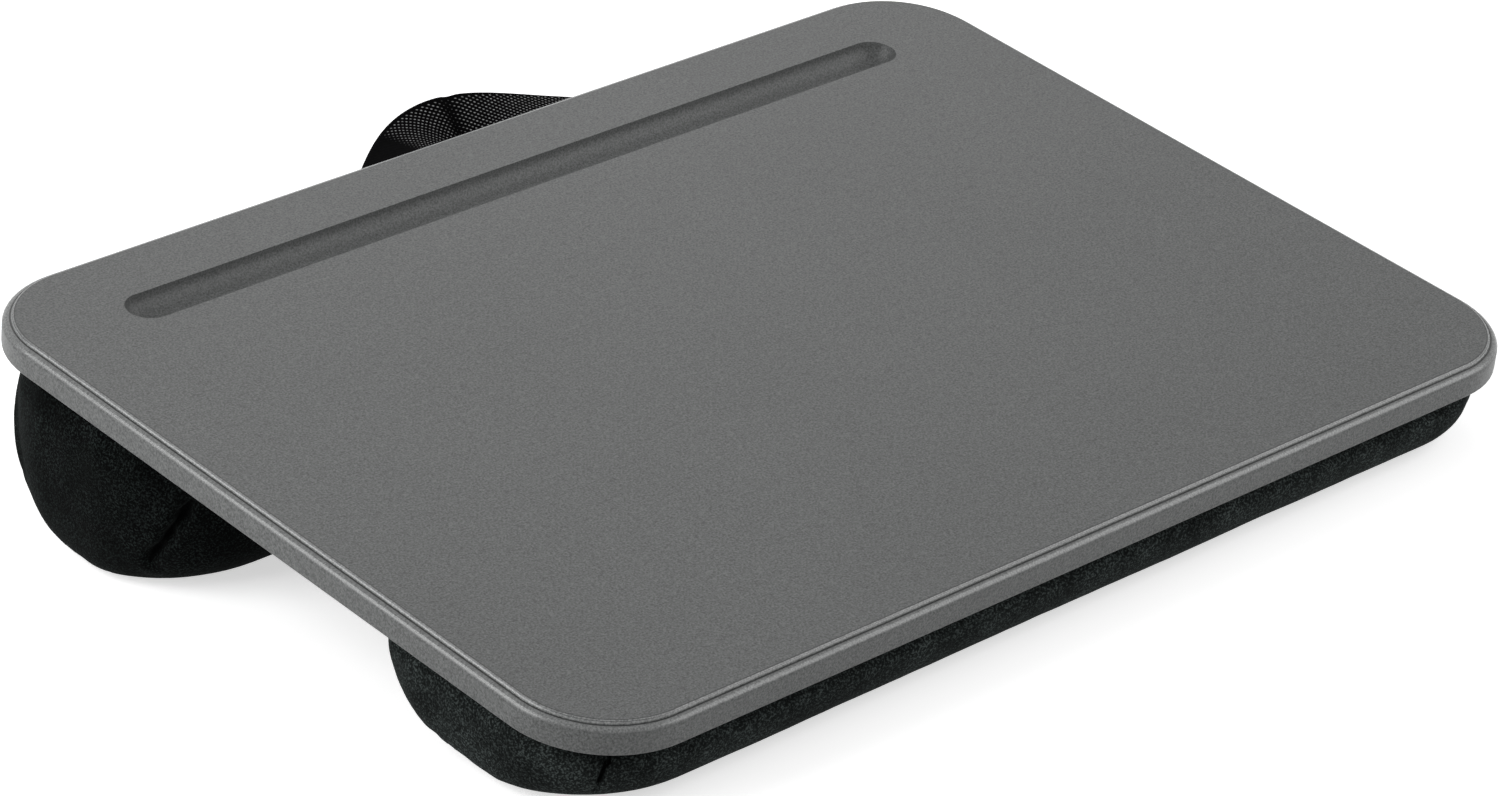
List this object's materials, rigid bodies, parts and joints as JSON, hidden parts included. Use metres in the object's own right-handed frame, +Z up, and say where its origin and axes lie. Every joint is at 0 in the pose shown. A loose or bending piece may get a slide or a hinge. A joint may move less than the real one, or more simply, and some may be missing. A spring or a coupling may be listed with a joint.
{
  "type": "lap desk",
  "caption": "Lap desk: a flat wrapped board with a pen groove, standing on two bead-filled bolster cushions, with a webbing carry loop at its far edge.",
  "frame": {"origin": "middle of the footprint box, on the surface that the desk stands on", "axes": "+X to the user's right, +Y away from the user towards the groove and the carry loop, +Z up, with the desk standing on its two bolsters"},
  "size_m": [0.37, 0.2988, 0.0707],
  "materials": {
    "fibreboard": "raw fibreboard",
    "soft_touch_film": "satin soft-touch film with a fine grain",
    "backing_sheet": "matt balancing sheet",
    "panel_cloth": "plain woven cloth over thin wadding",
    "staple_steel": "galvanised wire",
    "webbing": "coarse basket-weave webbing",
    "bolster_cloth": "short brushed pile",
    "bag_cloth": "thin spun-bonded cloth",
    "beads": "small foam beads"
  },
  "bodies": {
    "desk": {"board_core": "fibreboard", "board_laminate": "soft_touch_film", "board_backing": "backing_sheet", "base_panel": "panel_cloth", "channel_staples": "staple_steel", "handle_staples": "staple_steel", "handle_left_end": "webbing", "handle_right_end": "webbing", "rear_bolster_cover": "bolster_cloth", "rear_bead_bag": "bag_cloth", "rear_bead_fill": "beads", "front_bolster_cover": "bolster_cloth", "front_bead_bag": "bag_cloth", "front_bead_fill": "beads"},
    "loop": {"carry_loop": "webbing"}
  },
  "joints": [
    {"name": "loop_flex", "type": "hinge", "parent": "desk", "child": "loop", "pos_m": [0.012, 0.12216, 0.06186], "axis": [1, 0, 0], "range_deg": [-35, 40], "stiffness_Nm_per_rad": 0.03}
  ]
}
